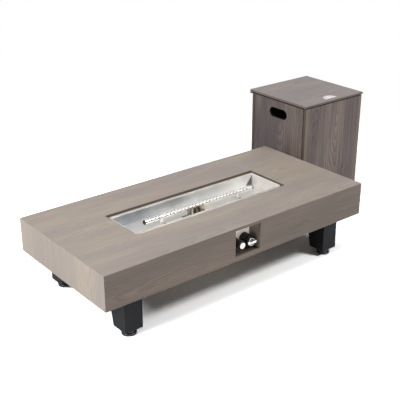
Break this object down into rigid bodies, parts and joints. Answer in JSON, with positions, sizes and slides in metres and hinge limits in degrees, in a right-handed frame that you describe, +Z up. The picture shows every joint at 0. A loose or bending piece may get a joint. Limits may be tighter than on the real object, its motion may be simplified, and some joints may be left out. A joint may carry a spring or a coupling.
{
  "type": "fire pit table",
  "caption": "Low rectangular fire pit table with a wood-look casing, burner pan, control niche, tapered legs and screw feet, and a matching lidded cover for its gas bottle.",
  "frame": {"origin": "middle of the whole set's outline on the floor, table and tank cover together", "axes": "+X along the table towards the tank cover, +Z up, -Y the side with the controls"},
  "size_m": [1.869, 0.827, 0.588],
  "materials": {
    "table_wood": "grey-brown wood grain, matt",
    "cover_wood": "darker grey-brown wood grain, matt",
    "cleat_wood": "plain wood",
    "frame_steel": "black paint",
    "leg_paint": "charcoal powder coat",
    "foot_black": "gloss black",
    "zinc_steel": "zinc plated",
    "stainless": "satin stainless steel",
    "bright_plate": "bright stainless steel",
    "dark_cap": "dark heat-proof coating",
    "brass": "bare brass",
    "ceramic": "glazed ceramic",
    "copper": "copper tip",
    "aluminium_pipe": "drawn pipe",
    "black_plastic": "fine matt",
    "chrome": "polished",
    "pad_rubber": "soft",
    "hinge_steel": "plain steel"
  },
  "bodies": {
    "table": {"top_panel": "table_wood", "front_apron": "table_wood", "back_apron": "table_wood", "left_apron": "table_wood", "right_apron": "table_wood", "niche_floor_board": "table_wood", "niche_left_board": "table_wood", "niche_right_board": "table_wood", "front_rail": "frame_steel", "back_rail": "frame_steel", "left_end_rail": "frame_steel", "right_end_rail": "frame_steel", "pan_rail_front": "frame_steel", "pan_rail_back": "frame_steel", "frame_posts": "frame_steel", "leg_channel_left": "frame_steel", "leg_channel_right": "frame_steel", "leg_front_left": "leg_paint", "leg_front_right": "leg_paint", "leg_back_left": "leg_paint", "leg_back_right": "leg_paint", "leg_bolts": "zinc_steel", "control_plate": "bright_plate", "burner_pan": "stainless", "burner_tube": "stainless", "tube_straps": "stainless", "pilot_bracket": "stainless", "burner_end_caps": "dark_cap", "pan_screws": "dark_cap", "burner_feed": "brass", "spark_electrode": "ceramic", "thermocouple": "copper", "gas_valve": "brass", "gas_inlet": "brass", "button_spring": "zinc_steel", "burner_gas_pipe": "aluminium_pipe", "valve_boss": "black_plastic", "igniter_body": "black_plastic", "igniter_collar": "black_plastic"},
    "valve_plug": {"valve_plug": "brass", "spindle_spring": "zinc_steel"},
    "control_knob": {"control_knob": "chrome", "valve_spindle": "zinc_steel"},
    "igniter_button": {"igniter_button": "chrome"},
    "foot_front_left": {"foot_front_left": "foot_black"},
    "foot_front_right": {"foot_front_right": "foot_black"},
    "foot_back_left": {"foot_back_left": "foot_black"},
    "foot_back_right": {"foot_back_right": "foot_black"},
    "tank_cover": {"cover_front_panel": "cover_wood", "cover_back_panel": "cover_wood", "cover_left_panel": "cover_wood", "cover_right_panel": "cover_wood", "cover_cleats": "cleat_wood", "cover_glides": "black_plastic", "lid_pads": "pad_rubber", "lid_hinge_fixed_leaves": "hinge_steel", "lid_hinge_pins": "hinge_steel"},
    "cover_lid": {"cover_lid": "cover_wood", "lid_pull": "chrome", "lid_hinge_moving_leaves": "hinge_steel"}
  },
  "joints": [
    {"name": "knob_turn", "type": "hinge", "parent": "table", "child": "valve_plug", "pos_m": [-0.1925, -0.3395, 0.234], "axis": [0, -1, 0], "range_deg": [0, 180]},
    {"name": "knob_push", "type": "slide", "parent": "valve_plug", "child": "control_knob", "axis": [0, 1, 0], "range_m": [0, 0.004], "stiffness_N_per_m": 1500, "springref_m": -0.002, "deforming": ["spindle_spring"]},
    {"name": "igniter_push", "type": "slide", "parent": "table", "child": "igniter_button", "axis": [0, 1, 0], "range_m": [0, 0.004], "stiffness_N_per_m": 800, "springref_m": -0.002, "deforming": ["button_spring"]},
    {"name": "foot_front_left_screw", "type": "slide", "parent": "table", "child": "foot_front_left", "axis": [0, 0, -1], "range_m": [0, 0.015]},
    {"name": "foot_front_right_screw", "type": "slide", "parent": "table", "child": "foot_front_right", "axis": [0, 0, -1], "range_m": [0, 0.015]},
    {"name": "foot_back_left_screw", "type": "slide", "parent": "table", "child": "foot_back_left", "axis": [0, 0, -1], "range_m": [0, 0.015]},
    {"name": "foot_back_right_screw", "type": "slide", "parent": "table", "child": "foot_back_right", "axis": [0, 0, -1], "range_m": [0, 0.015]},
    {"name": "tank_cover_lift", "type": "slide", "parent": "table", "child": "tank_cover", "axis": [0, 0, 1], "range_m": [0, 0.6]},
    {"name": "cover_lid_hinge", "type": "hinge", "parent": "tank_cover", "child": "cover_lid", "pos_m": [0.7255, 0.4082, 0.5602], "axis": [-1, 0, 0], "range_deg": [0, 180]}
  ]
}
